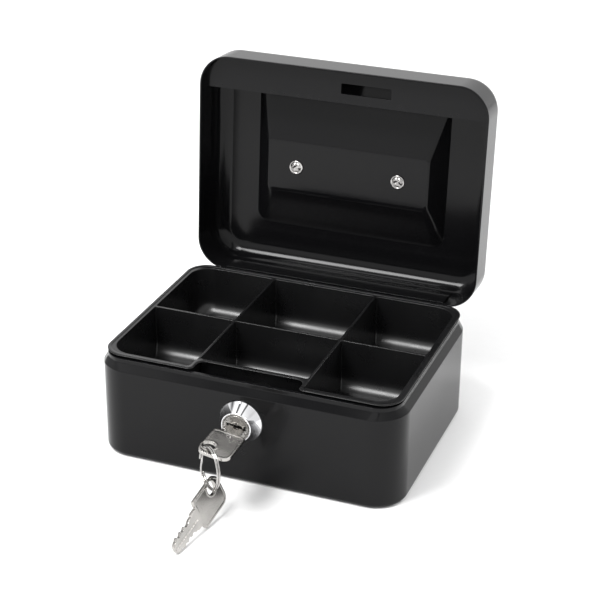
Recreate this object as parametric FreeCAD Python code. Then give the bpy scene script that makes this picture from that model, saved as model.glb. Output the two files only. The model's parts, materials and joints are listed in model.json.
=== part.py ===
import FreeCAD, Part
import math
import os

# Small pressed-steel cash box: hinged lid standing open, lift-out coin tray,
# cylinder lock in the front face with one key in it and a spare on the ring.
# Millimetres. Origin: centre of the underside. X to the right, Y to the rear, Z up.

V = FreeCAD.Vector
X, Y, Z = V(1, 0, 0), V(0, 1, 0), V(0, 0, 1)

# body
WIDTH, DEPTH = 153.0, 115.2
CORNER_R = 16.0
SHEET = 0.9
FOOT_R = 2.5
SHOULDER_Z = 45.8       # top of the straight wall
SHOULDER_IN = 3.0       # how far the neck is set in
CREST_R, HOLLOW_R = 1.7, 1.5
NECK_TOP = 52.2
HEM_DROP = 2.4

# lid
RIM_Z = 48.5            # lid rim when closed
LID_H = 25.2
LID_EDGE_R = 9.0
OPEN_DEG = 94.07
HINGE_Y, HINGE_Z = 60.37, 45.51
RECESS_TOP = (-51.6, -48, 51.6, 36.6)
RECESS_FLOOR = (-42.9, -12.4, 42.9, 12.4)
RECESS_Z = 16.1         # recess floor above the lid rim

# hinge
PIN_R, KNUCKLE_R = 1.5, 2.4
KNUCKLE_EDGES = (-60, -36, -12, 12, 36, 60)
KNUCKLE_GAP = 0.3
LEAF_T = 0.8            # leaf on the base
LEAF_STEPS = ((0.5, 16.1), (1.0, 11.4))   # lid leaf: thickness and height above the rim
RUN = 0.05              # radial running clearance

# latch strip
STRIP_Z, STRIP_T, STRIP_REAR_Y = 5.5, 0.8, -39.6
STRIP_GAP = 0.4         # between the strip and the front wall of the lid
SLOT = (-1.6, -49.9, 24.8, -44.5)

# lock
LOCK_Z = 33.0
KEYWAY_TILT = 8.4
WALL_Y = -DEPTH / 2
FACE_Y = -64.2
ROSETTE_R, ROSETTE_NOSE_R = 10.7, 7.35
THREAD_R, PLUG_R, PLUG_HEAD_R, TAIL_R = 6.9, 5.9, 6.2, 5.0
CAM_Y0, CAM_T = -48.1, 1.6
CAM_REACH = 25.4

# keys and ring
BOW_L, BOW_W, BOW_T, BEAD = 20.9, 15.6, 1.5, 0.08
KEY_HOLE = (-14.3, -4.2)
KEY_HOLE_R = 3.15
KEY_NECK_W, KEY_NECK_L = 9.2, 4.6
BLADE_W, BLADE_T, BLADE_END = 7.4, 1.7, 22.3
KEY_SEAT_Y = -70.5
RING_R, RING_WIRE_R, RING_PITCH = 9.84, 0.46, 0.97
RING_CENTRE = V(-1.74, -89.32, 25.56)
RING_ALONG = V(0.737, -0.676, 0)
RING_UP = V(0.044, 0.048, 0.998)
SPARE_SHOULDER = V(-1.98, -102.38, 7.74)
SPARE_ALONG = V(-0.089, -0.969, -0.23)
SPARE_ACROSS = V(0.326, 0.19, -0.926)

# handle
POST_X, POST_Y = 27.7, 0.4
PIVOT_Z = 22.4
BAIL_R, BAIL_X, BAIL_REACH = 1.9, 34.0, 19.0

# tray
LIP = (-73.55, -54.4, 73.55, 54.9)
LIP_R, LIP_TOP = 12.8, 53.2
TUB = (-70.7, -51.0, 70.7, 51.7)
TUB_R = 10.2
TRAY_T, DIVIDER_T = 0.8, 1.2
DIVIDER_X = 27.6
NOTCH_Y, MIDDLE_FRONT_Y = -44.2, -42.5
TRAY_FLOOR = 28.0
SCOOP_R = 17.0


def path(start, *steps):
    """Closed wire in the XZ plane: a step is a point, or a (mid, end) pair for an arc."""
    edges, at = [], V(start[0], 0, start[1])
    for step in list(steps) + [start]:
        if isinstance(step[0], tuple):
            mid, end = (V(p[0], 0, p[1]) for p in step)
            edges.append(Part.Arc(at, mid, end).toShape())
        else:
            end = V(step[0], 0, step[1])
            if end.distanceToPoint(at) < 1e-6:
                continue
            edges.append(Part.makeLine(at, end))
        at = end
    return Part.Wire(edges)


def on_arc(centre, radius, degrees):
    a = math.radians(degrees)
    return (centre[0] + radius * math.cos(a), centre[1] + radius * math.sin(a))


def rounded_rect(x0, y0, x1, y1, r, z=0.0):
    """Rounded rectangle wire at height z."""
    k = r * (1 - math.sqrt(0.5))
    edges = []
    corners = [(x1, y1, 1, 1), (x0, y1, -1, 1), (x0, y0, -1, -1), (x1, y0, 1, -1)]
    ends = []
    for n, (x, y, sx, sy) in enumerate(corners):
        a, b = V(x, y - sy * r, z), V(x - sx * r, y, z)
        if n % 2:
            a, b = b, a
        edges.append(Part.Arc(a, V(x - sx * k, y - sy * k, z), b).toShape())
        ends.append((a, b))
    for n in range(4):
        edges.append(Part.makeLine(ends[n][1], ends[(n + 1) % 4][0]))
    return Part.Wire(Part.__sortEdges__(edges))


def slab(rect, r, z0, z1):
    return Part.Face(rounded_rect(*rect, r, z0)).extrude(V(0, 0, z1 - z0))


def box(x0, y0, z0, x1, y1, z1):
    return Part.makeBox(x1 - x0, y1 - y0, z1 - z0, V(x0, y0, z0))


def rod(r, y0, y1, x=0.0, z=LOCK_Z):
    return Part.makeCylinder(r, y1 - y0, V(x, y0, z), Y)


def bar_x(r, x0, x1, y, z):
    return Part.makeCylinder(r, x1 - x0, V(x0, y, z), X)


def join(shapes):
    first = shapes[0]
    return first.multiFuse(shapes[1:]).removeSplitter() if len(shapes) > 1 else first


def pressed(profile, hx, hy, r):
    """Carry a wall profile round a rounded rectangle. In the profile x = r is the outer face."""
    face = Part.Face(profile)
    pieces = []
    for n in range(4):
        side = face.copy()
        side.rotate(V(), Z, 90 * n)
        sx, sy = (1, -1, -1, 1)[n], (1, 1, -1, -1)[n]
        centre = V(sx * (hx - r), sy * (hy - r), 0)
        side.translate(centre)
        pieces.append(side.revolve(centre, Z, 90))
        run = 2 * (hy - r) if n % 2 == 0 else 2 * (hx - r)
        back = FreeCAD.Rotation(Z, 90 * n).multVec(V(0, -run, 0))
        pieces.append(side.extrude(back))
    return pieces


def base_profile():
    r, t, hollow = CORNER_R, SHEET, SHOULDER_IN - HOLLOW_R
    turn = math.degrees(math.acos(1 - SHOULDER_IN / (CREST_R + HOLLOW_R)))
    rise = (CREST_R + HOLLOW_R) * math.sin(math.radians(turn))
    neck_z = SHOULDER_Z + rise
    foot, crest, dip = (r - FOOT_R, FOOT_R), (r - CREST_R, SHOULDER_Z), (r - hollow, neck_z)
    back = 180 + turn
    hem = r - SHOULDER_IN - 2 * t
    return path(
        (0, 0), (r - FOOT_R, 0),
        (on_arc(foot, FOOT_R, -45), (r, FOOT_R)), (r, SHOULDER_Z),
        (on_arc(crest, CREST_R, turn / 2), on_arc(crest, CREST_R, turn)),
        (on_arc(dip, HOLLOW_R, (180 + back) / 2), (r - SHOULDER_IN, neck_z)),
        (r - SHOULDER_IN, NECK_TOP - t),
        ((r - SHOULDER_IN - t, NECK_TOP), (hem, NECK_TOP - t)),
        (hem, NECK_TOP - HEM_DROP), (hem + t - 0.1, NECK_TOP - HEM_DROP), (hem + t, neck_z),
        (on_arc(dip, HOLLOW_R + t, (180 + back) / 2), on_arc(dip, HOLLOW_R + t, back)),
        (on_arc(crest, CREST_R - t, turn / 2), (r - t, SHOULDER_Z)), (r - t, FOOT_R),
        (on_arc(foot, FOOT_R - t, -45), (r - FOOT_R, t)), (0, t))


def base_shell():
    hx, hy = WIDTH / 2, DEPTH / 2
    pieces = pressed(base_profile(), hx, hy, CORNER_R)
    fx, fy = hx - CORNER_R, hy - CORNER_R
    pieces.append(box(-fx, -fy, 0, fx, fy, SHEET))
    return join(pieces).cut(rod(THREAD_R, WALL_Y - 1, WALL_Y + 3))


def lid_profile():
    r, t, e = CORNER_R, SHEET, LID_EDGE_R
    centre = (r - e, LID_H - e)
    return path(
        (r, 0), (r, LID_H - e), (on_arc(centre, e, 45), (r - e, LID_H)), (0, LID_H),
        (0, LID_H - t), (r - e, LID_H - t),
        (on_arc(centre, e - t, 45), (r - t, LID_H - e)), (r - t, 0))


def recess(grow, z_floor, z_top):
    """Tapered tub between the recess floor outline and its mouth, grown sideways."""
    low = [v + s * grow for v, s in zip(RECESS_FLOOR, (-1, -1, 1, 1))]
    high = [v + s * grow for v, s in zip(RECESS_TOP, (-1, -1, 1, 1))]
    return Part.makeLoft([rounded_rect(*low, 6 + grow, z_floor),
                          rounded_rect(*high, 9 + grow, z_top)], True, True)


def lid_shell():
    hx, hy = WIDTH / 2, DEPTH / 2
    pieces = pressed(lid_profile(), hx, hy, CORNER_R)
    fx, fy = hx - CORNER_R, hy - CORNER_R
    pieces.append(box(-fx, -fy, LID_H - SHEET, fx, fy, LID_H))
    pieces.append(recess(0.7, RECESS_Z - SHEET, LID_H - 0.3))
    shell = join(pieces).cut(recess(0, RECESS_Z, LID_H))
    for x in (-POST_X, POST_X):
        shell = shell.cut(Part.makeCylinder(1.7, 4, V(x, POST_Y, RECESS_Z - 2)))
    return shell.cut(box(-60.4, 55, -1, 60.4, 58, 1.3))


def latch_strip():
    hx, hy, r = WIDTH / 2 - SHEET, DEPTH / 2 - SHEET, CORNER_R - SHEET
    plate = slab((-hx, -hy + STRIP_GAP, hx, hy), r, STRIP_Z, STRIP_Z + STRIP_T)
    plate = plate.common(box(-hx, -hy, 0, hx, STRIP_REAR_Y, LID_H))
    flange = box(-hx, STRIP_REAR_Y - STRIP_T, STRIP_Z, hx, STRIP_REAR_Y, STRIP_Z + 7)
    return join([plate, flange]).cut(slab(SLOT, 0.8, 0, 12))


def knuckles(odd, bore):
    """Every other knuckle of the hinge, with its bore."""
    shapes = []
    for n in range(odd, 5, 2):
        x0, x1 = KNUCKLE_EDGES[n] + KNUCKLE_GAP / 2, KNUCKLE_EDGES[n + 1] - KNUCKLE_GAP / 2
        shapes.append(bar_x(KNUCKLE_R, x0, x1, HINGE_Y, HINGE_Z))
    hole = bar_x(bore, -62, 62, HINGE_Y, HINGE_Z)
    return shapes, hole


def hinge_leaf_base():
    y0 = DEPTH / 2
    shapes, hole = knuckles(0, PIN_R)
    shapes.append(box(-60, y0, 30, 60, y0 + LEAF_T, HINGE_Z))
    leaf = join(shapes)
    for n in (1, 3):
        x0, x1 = KNUCKLE_EDGES[n] - KNUCKLE_GAP / 2, KNUCKLE_EDGES[n + 1] + KNUCKLE_GAP / 2
        leaf = leaf.cut(box(x0, y0 - 1, HINGE_Z - KNUCKLE_R - 0.4, x1, y0 + 6, HINGE_Z + 5))
    return leaf.cut(hole)


def hinge_leaf_lid():
    """Leaf on the inside of the lid's rear wall, cranked out under the rim to the knuckles."""
    yi = DEPTH / 2 - SHEET
    shapes, hole = knuckles(1, PIN_R + RUN)
    inner = yi - LEAF_STEPS[1][0]
    shapes += [box(-60, yi - t, RIM_Z + 0.4, 60, yi, RIM_Z + top) for t, top in LEAF_STEPS]
    crank = path((inner, RIM_Z + 0.4), (HINGE_Y - 1.2, RIM_Z + 0.4),
                 (HINGE_Y - 0.5, HINGE_Z + PIN_R + 0.3), (HINGE_Y + 0.9, HINGE_Z + PIN_R + 0.4),
                 (HINGE_Y + 0.6, RIM_Z + 0.4), (HINGE_Y - 0.6, RIM_Z + 1.2),
                 (inner, RIM_Z + 1.2))
    for n in (1, 3):
        x0, x1 = KNUCKLE_EDGES[n] + KNUCKLE_GAP / 2, KNUCKLE_EDGES[n + 1] - KNUCKLE_GAP / 2
        arm = Part.Face(crank).extrude(V(0, x1 - x0, 0))
        arm.rotate(V(), Z, 90)
        arm = arm.mirror(V(), X)
        arm.translate(V(x1 - arm.BoundBox.XMax, 0, 0))
        shapes.append(arm)
    return join(shapes).cut(hole)


def handle_post(x):
    """Post with a cross bore for the handle end; its shank is peened over below the floor."""
    z = RECESS_Z
    post = Part.makeCylinder(4.0, PIVOT_Z + 2.4 - z - 0.6, V(x, POST_Y, z + 0.6))
    shank = Part.makeCylinder(1.7, 3.2, V(x, POST_Y, z + 0.7 - 3.2 + 0.2))
    head = Part.makeCylinder(3.7, 0.7, V(x, POST_Y, z - SHEET - 0.7))
    crown = Part.makeCone(2.3, 1.5, 0.4, V(x, POST_Y, z - SHEET - 0.7), V(0, 0, -1))
    cross = bar_x(1.5 + RUN, x - 5, x + 5, POST_Y, PIVOT_Z)
    return join([post, shank, head, crown]).cut(cross)


def handle_washer(x):
    ring = Part.makeCylinder(5.4, 0.6, V(x, POST_Y, RECESS_Z))
    return ring.cut(Part.makeCylinder(1.7, 2, V(x, POST_Y, RECESS_Z - 0.5)))


def handle():
    """Wire bail: two arms, a grip with a thicker sleeve, ends turned in to the posts."""
    y1, z, bend = POST_Y + BAIL_REACH, PIVOT_Z, 6.0
    shapes = []
    for s in (-1, 1):
        x = s * BAIL_X
        inner = s * (POST_X - 3.4)
        shapes.append(bar_x(1.5, min(inner, x), max(inner, x), POST_Y, z))
        shapes.append(Part.makeSphere(1.5 + 0.6, V(x, POST_Y, z)))
        shapes.append(rod(BAIL_R, POST_Y, y1 - bend, x, z))
        corner = Part.makeTorus(bend, BAIL_R, V(x - s * bend, y1 - bend, z), Z)
        keep = box(min(x - s * bend, x + s * 3), y1 - bend, z - 4,
                   max(x - s * bend, x + s * 3), y1 + 3, z + 4)
        shapes.append(corner.common(keep))
    reach = BAIL_X - bend
    shapes.append(bar_x(BAIL_R, -reach, reach, y1, z))
    return join(shapes)


def lock_rosette():
    cone = Part.makeCone(ROSETTE_R, ROSETTE_NOSE_R, WALL_Y - FACE_Y - 0.3,
                         V(0, WALL_Y, LOCK_Z), V(0, -1, 0))
    return cone.cut(rod(THREAD_R, FACE_Y - 1, WALL_Y + 1))


def lock_housing():
    body = rod(THREAD_R, FACE_Y + 0.1, -49.0)
    body = body.cut(rod(PLUG_R + RUN, FACE_Y - 1, -48))
    return body.cut(rod(PLUG_HEAD_R + RUN, FACE_Y - 1, FACE_Y + 3))


def lock_nut():
    y0, across = WALL_Y + SHEET + 0.8, 20.0
    r = across / math.sqrt(3)
    corners = [V(r * math.cos(math.radians(60 * k)), y0, LOCK_Z + r * math.sin(math.radians(60 * k)))
               for k in range(7)]
    nut = Part.Face(Part.makePolygon(corners)).extrude(V(0, 3.4, 0))
    return nut.cut(rod(THREAD_R, y0 - 1, y0 + 6))


def lock_washer():
    """Toothed washer between the nut and the front wall."""
    y0 = WALL_Y + SHEET
    ring = rod(9.0, y0, y0 + 0.8)
    teeth = []
    for k in range(12):
        tooth = box(8.6, y0, LOCK_Z - 0.9, 10.4, y0 + 0.8, LOCK_Z + 0.9)
        tooth.rotate(V(0, 0, LOCK_Z), Y, 30 * k)
        teeth.append(tooth)
    return join([ring] + teeth).cut(rod(THREAD_R, y0 - 1, y0 + 2))


def tilted(shape):
    shape.rotate(V(0, 0, LOCK_Z), Y, KEYWAY_TILT)
    return shape


def wafer_slot_y():
    return [FACE_Y + 4.5 + 2.4 * k for k in range(4)]


def lock_plug():
    plug = join([rod(PLUG_HEAD_R, FACE_Y, FACE_Y + 2.95), rod(PLUG_R, FACE_Y + 2.9, CAM_Y0),
                 rod(TAIL_R, CAM_Y0 - 0.1, CAM_Y0 + CAM_T + 1.5)])
    for s in (-1, 1):
        z0 = LOCK_Z + 4.2 if s > 0 else LOCK_Z - 9
        plug = plug.cut(box(-9, CAM_Y0, z0, 9, CAM_Y0 + 4, z0 + 4.8))
    keyway = tilted(box(-3.8, FACE_Y - 1, LOCK_Z - 0.95, 3.8, CAM_Y0 + 0.4, LOCK_Z + 0.95))
    clip = rod(9, CAM_Y0 - 0.8, CAM_Y0 - 0.05).cut(rod(5.3, -60, -40))
    tail_clip = rod(9, CAM_Y0 + CAM_T, CAM_Y0 + CAM_T + 0.75).cut(rod(4.1, -60, -40))
    plug = plug.cut(keyway).cut(clip).cut(tail_clip)
    for y in wafer_slot_y():
        plug = plug.cut(tilted(box(-5.2, y, LOCK_Z - 2.3, 5.2, y + 0.6, LOCK_Z + 2.3)))
    return plug


def wafer(y):
    plate = box(-5.1, y + 0.05, LOCK_Z - 2.2, 5.1, y + 0.55, LOCK_Z + 2.2)
    return tilted(plate.cut(box(-3.95, y - 1, LOCK_Z - 1.05, 3.95, y + 1, LOCK_Z + 1.05)))


def clip_ring(r_in, r_out, y0, t):
    ring = rod(r_out, y0, y0 + t).cut(rod(r_in, y0 - 1, y0 + t + 1))
    return ring.cut(box(-r_in * 0.7, y0 - 1, LOCK_Z - r_out - 1, r_in * 0.7, y0 + t + 1, LOCK_Z))


def lock_cam():
    """Hooked cam, lying to the right when unlocked; the nose points up."""
    a, z = CAM_REACH, LOCK_Z
    hook = path((0, z - 5.5), (a - 2.6, z - 5.5), ((a - 0.8, z - 4.7), (a, z - 2.9)), (a, z + 5.2),
                (a - 1.2, z + 6.4), (a - 3.2, z + 6.4), (a - 3.2, z + 2.0),
                ((a - 3.5, z + 1.4), (a - 4.2, z + 1.2)), (0, z + 1.2))
    plate = Part.Face(hook).extrude(V(0, CAM_T, 0))
    plate.translate(V(0, CAM_Y0, 0))
    hub = rod(7.4, CAM_Y0, CAM_Y0 + CAM_T)
    seat = rod(TAIL_R, CAM_Y0 - 1, CAM_Y0 + 3).common(box(-9, -60, z - 4.2, 9, -40, z + 4.2))
    return join([hub, plate]).cut(seat)


def bow_outline(inset):
    """Bow: square shoulders with clipped near corners, rounded far corners."""
    w, far, near, clip, r = BOW_W / 2 - inset, inset - BOW_L, -inset, 1.35, 4.0 - inset * 0.6
    k = r * (1 - math.sqrt(0.5))
    pts = [V(near - clip * 0.5, -w, 0), V(near, -w + clip, 0), V(near, w - clip, 0),
           V(near - clip * 0.5, w, 0), V(far + r, w, 0)]
    edges = [Part.makeLine(a, b) for a, b in zip(pts, pts[1:])]
    edges.append(Part.Arc(pts[-1], V(far + k, w - k, 0), V(far, w - r, 0)).toShape())
    edges.append(Part.makeLine(V(far, w - r, 0), V(far, -w + r, 0)))
    edges.append(Part.Arc(V(far, -w + r, 0), V(far + k, -w + k, 0), V(far + r, -w, 0)).toShape())
    edges.append(Part.makeLine(V(far + r, -w, 0), pts[0]))
    return Part.Face(Part.Wire(edges))


def blade_outline():
    """Blade with shallow rounded cuts on both edges and a blunt nose."""
    depths = (0.0, 0.0, 1.0, 0.35, 1.3, 0.2, 0.9, 0.1, 1.1, 0.6)
    u0, step, half = KEY_NECK_L, 1.65, BLADE_W / 2
    top = [V(u0 + step * n, half - d, 0) for n, d in enumerate(depths)]
    low = [V(u0 + step * n, -half + d, 0) for n, d in enumerate(reversed(depths[2:]), 2)]
    low = [V(u0, -half, 0), V(u0 + step, -half, 0)] + low
    edges = []
    for run in (top, low):
        curve = Part.BSplineCurve()
        curve.interpolate(run)
        edges.append(curve.toShape())
    edges.append(Part.Arc(top[-1], V(BLADE_END, 0, 0), low[-1]).toShape())
    edges.append(Part.makeLine(low[0], top[0]))
    return Part.Face(Part.Wire(Part.__sortEdges__(edges)))


def plate(face, t):
    face.translate(V(0, 0, -t / 2))
    return face.extrude(V(0, 0, t))


def key():
    """Flat key along +X of its own frame, shoulder at the origin; symmetric in thickness."""
    total = BOW_T + 2 * BEAD
    bow = plate(bow_outline(0), BOW_T)
    frame = plate(bow_outline(0), total).cut(plate(bow_outline(0.9), total + 1))
    u, v = KEY_HOLE
    eye = Part.makeCylinder(KEY_HOLE_R + 0.85, total, V(u, v, -total / 2))
    neck = Part.makeBox(KEY_NECK_L + 1, KEY_NECK_W, BLADE_T,
                        V(-1, -KEY_NECK_W / 2, -BLADE_T / 2))
    neck = neck.makeFillet(0.8, [e for e in neck.Edges
                                 if e.BoundBox.XMin > KEY_NECK_L - 0.1 and e.BoundBox.ZLength > 1])
    blade = plate(blade_outline(), BLADE_T)
    body = join([bow, frame, eye, neck, blade])
    body = body.cut(Part.makeCylinder(KEY_HOLE_R, 6, V(u, v, -3)))
    for s in (-1, 1):
        groove = Part.makeBox(BLADE_END + 2, 1.1, 0.45, V(1.5, -0.55, s * BLADE_T / 2 - 0.225))
        body = body.cut(groove)
    return body


def seat(shape, origin, along, across):
    """Place a shape by where its own X and Y axes point."""
    u = V(along).normalize()
    w = u.cross(across).normalize()
    v = w.cross(u)
    m = FreeCAD.Matrix(u.x, v.x, w.x, origin.x, u.y, v.y, w.y, origin.y,
                       u.z, v.z, w.z, origin.z, 0, 0, 0, 1)
    shape.Placement = FreeCAD.Placement(m).multiply(shape.Placement)
    return shape


def key_main():
    tilt = math.radians(KEYWAY_TILT)
    return seat(key(), V(0, KEY_SEAT_Y, LOCK_Z), Y, V(math.cos(tilt), 0, -math.sin(tilt)))


def key_spare():
    return seat(key(), SPARE_SHOULDER, SPARE_ALONG, SPARE_ACROSS)


def split_ring():
    """Two close turns of wire, hanging upright through both key holes."""
    height = 2 * RING_PITCH
    helix = Part.makeHelix(RING_PITCH, height, RING_R)
    section = Part.Wire(Part.makeCircle(RING_WIRE_R, V(RING_R, 0, 0), Y))
    ring = Part.Wire(helix.Edges).makePipeShell([section], True, True)
    ring.translate(V(0, 0, -height / 2))
    ring.rotate(V(), Z, 200)
    return seat(ring, RING_CENTRE, RING_ALONG, RING_UP)


def cell(x0, y0, x1, y1, grow):
    """One compartment: rounded corners, flat floor, front wall scooped up for the fingers."""
    x0, y0, x1, y1 = x0 - grow, y0 - grow, x1 + grow, y1 + grow
    zf, r, s = TRAY_FLOOR - grow, 4.0 + grow, SCOOP_R + grow
    top = LIP_TOP - 0.5 if grow else LIP_TOP + 1
    k = 1 - math.sqrt(0.5)
    side = path((y1, top), (y0, top), (y0, zf + s), ((y0 + s * k, zf + s * k), (y0 + s, zf)),
                (y1 - r, zf), ((y1 - r * k, zf + r * k), (y1, zf + r)))
    run = Part.Face(side).extrude(V(0, x1 - x0, 0))
    run.rotate(V(), Z, 90)
    run = run.mirror(V(), X)
    run.translate(V(x1 - run.BoundBox.XMax, 0, 0))
    return run.common(slab((x0, y0, x1, y1), 1.0 + grow, zf - 1, top + 1))


def cells(grow):
    """The compartments; grow adds the wall thickness for the outside of the tub."""
    half, (x_min, y_min, x_max, y_max) = DIVIDER_T / 2, TUB
    columns = ((x_min, -DIVIDER_X - half), (-DIVIDER_X + half, DIVIDER_X - half),
               (DIVIDER_X + half, x_max))
    shapes = []
    for n, (x0, x1) in enumerate(columns):
        shapes.append(cell(x0, MIDDLE_FRONT_Y if n == 1 else y_min, x1, -half, grow))
        shapes.append(cell(x0, half, x1, y_max, grow))
    rim = slab((x_min - grow, y_min - grow, x_max + grow, y_max + grow), TUB_R + grow, 0, 80)
    return [s.common(rim) for s in shapes]


def coin_tray():
    lip = slab(LIP, LIP_R, NECK_TOP, LIP_TOP)
    half = DIVIDER_X - DIVIDER_T / 2
    notch = slab((-half, LIP[1] - 20, half, NOTCH_Y), 4.0, NECK_TOP - 1, LIP_TOP + 1)
    tray = join([lip.cut(notch)] + cells(TRAY_T))
    for hollow in cells(0):
        tray = tray.cut(hollow)
    return tray.removeSplitter()


def on_lid(shape):
    """Lift a lid part from the rim plane to the closed height, then swing it open."""
    shape.translate(V(0, 0, RIM_Z))
    return swung(shape)


def swung(shape):
    shape.rotate(V(0, HINGE_Y, HINGE_Z), X, -OPEN_DEG)
    return shape


def parts():
    wafers = [wafer(y) for y in wafer_slot_y()]
    yield "base_shell", base_shell()
    yield "hinge_leaf_base", hinge_leaf_base()
    yield "hinge_pin", bar_x(PIN_R, -61, 61, HINGE_Y, HINGE_Z)
    yield "lock_housing", lock_housing()
    yield "lock_rosette", lock_rosette()
    yield "lock_nut", lock_nut()
    yield "lock_washer", lock_washer()
    yield "lock_plug", lock_plug()
    yield "lock_cam", lock_cam()
    yield "plug_clip", clip_ring(5.35, 7.2, CAM_Y0 - 0.78, 0.7)
    yield "cam_clip", clip_ring(4.15, 6.4, CAM_Y0 + CAM_T + 0.02, 0.7)
    for n, shape in enumerate(wafers, 1):
        yield f"wafer_{n}", shape
    yield "key_main", key_main()
    yield "split_ring", split_ring()
    yield "key_spare", key_spare()
    yield "lid_shell", on_lid(lid_shell())
    yield "latch_strip", on_lid(latch_strip())
    yield "hinge_leaf_lid", swung(hinge_leaf_lid())
    yield "handle", on_lid(handle())
    for side, x in (("left", -POST_X), ("right", POST_X)):
        yield f"post_{side}", on_lid(handle_post(x))
        yield f"washer_{side}", on_lid(handle_washer(x))
    yield "coin_tray", coin_tray()


os.makedirs("parts", exist_ok=True)
for name, shape in parts():
    shape.exportStep(f"parts/{name}.step")
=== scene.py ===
import json
import math

import bmesh
import bpy
from mathutils import Matrix, Vector, noise

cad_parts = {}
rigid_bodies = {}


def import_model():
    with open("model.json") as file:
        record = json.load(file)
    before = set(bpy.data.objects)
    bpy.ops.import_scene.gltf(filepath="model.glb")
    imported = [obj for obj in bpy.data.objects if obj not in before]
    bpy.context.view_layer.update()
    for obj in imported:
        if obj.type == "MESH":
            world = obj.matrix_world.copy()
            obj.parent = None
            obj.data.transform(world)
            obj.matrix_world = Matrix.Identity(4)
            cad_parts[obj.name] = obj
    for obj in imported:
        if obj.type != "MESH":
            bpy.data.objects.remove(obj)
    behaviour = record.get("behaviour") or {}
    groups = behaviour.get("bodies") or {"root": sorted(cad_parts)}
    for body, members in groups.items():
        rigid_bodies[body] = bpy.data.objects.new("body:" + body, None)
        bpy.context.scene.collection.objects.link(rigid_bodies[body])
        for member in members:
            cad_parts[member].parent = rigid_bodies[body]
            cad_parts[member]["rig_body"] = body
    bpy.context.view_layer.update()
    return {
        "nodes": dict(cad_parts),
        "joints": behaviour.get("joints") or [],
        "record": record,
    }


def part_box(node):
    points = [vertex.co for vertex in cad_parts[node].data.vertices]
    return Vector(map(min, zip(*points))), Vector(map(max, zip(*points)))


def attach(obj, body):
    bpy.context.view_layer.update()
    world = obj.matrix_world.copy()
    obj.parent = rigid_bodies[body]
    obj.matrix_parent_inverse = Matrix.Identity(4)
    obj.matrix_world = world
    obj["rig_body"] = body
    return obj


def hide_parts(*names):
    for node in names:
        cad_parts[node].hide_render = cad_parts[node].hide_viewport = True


# Looks of a small steel cash box: stoved black paint, a moulded coin tray, a chromed
# lock and two nickel-plated keys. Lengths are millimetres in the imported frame; only the
# materials, the floor, the lights and the camera are in metres. Outlines in plan are
# (x0, y0, x1, y1).

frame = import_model()
MM = 0.001


def node_box(node):
    """Lowest and highest corner of a CAD node, in millimetres."""
    low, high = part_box(node)
    return low / MM, high / MM


JOINTS = {j["name"]: j for j in frame["joints"]}
BASE_HIGH = node_box("base_shell")[1]
TRAY_LOW, TRAY_HIGH = node_box("coin_tray")
HALF_W, HALF_D, NECK_TOP = BASE_HIGH.x, BASE_HIGH.y, BASE_HIGH.z
HINGE = Vector(JOINTS["lid_hinge"]["pos_m"]) / MM
OPEN = math.radians(-JOINTS["lid_hinge"]["range_deg"][0])

# base: wall, shoulder, neck and hem
CORNER_R = 16.0
SHEET = 0.9
FOOT_R = 2.5
FLAT_IN = 8.0           # the flat bottom starts this far in from the wall
SHOULDER_Z, SHOULDER_IN, CREASE_R = 46.1, 2.7, 0.8
SHOULDER_TILT = 38.0    # degrees from upright
HEM_DROP, HEM_GAP = 2.4, 0.12
HEM_EDGE_R = 0.15
HEM_SINK = 0.45         # the hem ends this far below the CAD neck, under the tray's lip
NECK_TIGHTER = 1.6      # the neck turns its corners this much tighter than the wall
PUCKER_HEIGHT, PUCKER_WAVES = 0.3, 12
PUCKER_GRAIN = (0.35, 0.35, 0.12)
LOCK_HOLE_R = 6.92

# lid, drawn closed with its rim at z = 0 and its outer top at LID_H
RIM_Z = 48.5            # height of the closed lid's rim
LID_H = 25.2
LID_EDGE_R = 9.0
RECESS_TOP = (-52.2, -48, 51.6, 36.6)
RECESS_FLOOR = (-42.9, -12.4, 42.9, 12.4)
RECESS_Z = 16.1
RECESS_EASE = 0.09      # share of the recess slope that rounds each of its ends
MOUTH_R, FLOOR_R = 6.5, 2.2
HINGE_GAP_X, HINGE_GAP_IN, HINGE_GAP_Z = 60.4, 2.2, 1.3

# lock
LOCK_Z = (node_box("lock_rosette")[0].z + node_box("lock_rosette")[1].z) / 2
FACE_Y = node_box("lock_plug")[0].y
ROSETTE_R, NOSE_R = 10.7, 7.35
HOUSING_BACK, KEYWAY_END = -49.0, -47.7
KEYWAY_TILT = math.radians(8.4)

# handle and rivets, in the closed lid
POST_X, POST_Y, PIVOT_Z = 27.7, 0.4, 22.4
POST_R, POST_EDGE_R, BORE_R = 4.0, 1.1, 1.56
BAIL_R, BAIL_X, BAIL_REACH = 1.9, 34.0, 19.0
BAIL_END_R, BAIL_BEND_R, BAIL_TURN_R = 1.5, 6.0, 2.2
GRIP_HALF, GRIP_SWELL = 26, 0.12

# keys
KEY_VOXEL, KEY_VOXEL_QUICK = 0.16, 0.30

# tray
LIP_X, LIP_FRONT, LIP_REAR, LIP_TOP = TRAY_HIGH.x, TRAY_LOW.y, TRAY_HIGH.y, TRAY_HIGH.z
LIP_R = 10.2
LIP_OUT, LIP_FRONT_IN = 0.5, 0.4    # the lip overhangs the hem, except at the front
LIP_EDGE = ((0, 0.26), (0.1, 0.34), (1.8, 0.36))    # (inward, down from the lip's top)
TRAY_EDGE_R, TRAY_T = 0.2, 0.58
TUB = (-70.7, -51.0, 70.7, 51.7)
TUB_R, INNER_R = 10.2, 1.0
DIVIDER_X, DIVIDER_T = 27.6, 1.2
NOTCH_Y, MIDDLE_FRONT_Y = -44.2, -42.5
NOTCH_OUTER_R, NOTCH_INNER_R = 2.5, 4.0
TRAY_FLOOR, SCOOP_R, CELL_R = 28.0, 17.0, 8.0
DRAFT = 0.35            # a cell wall leans in this much over its depth
SIDE_SHARE = 0.35       # side walls get this share of the rear wall's foot curve


# ---------------------------------------------------------------- node helpers

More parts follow.
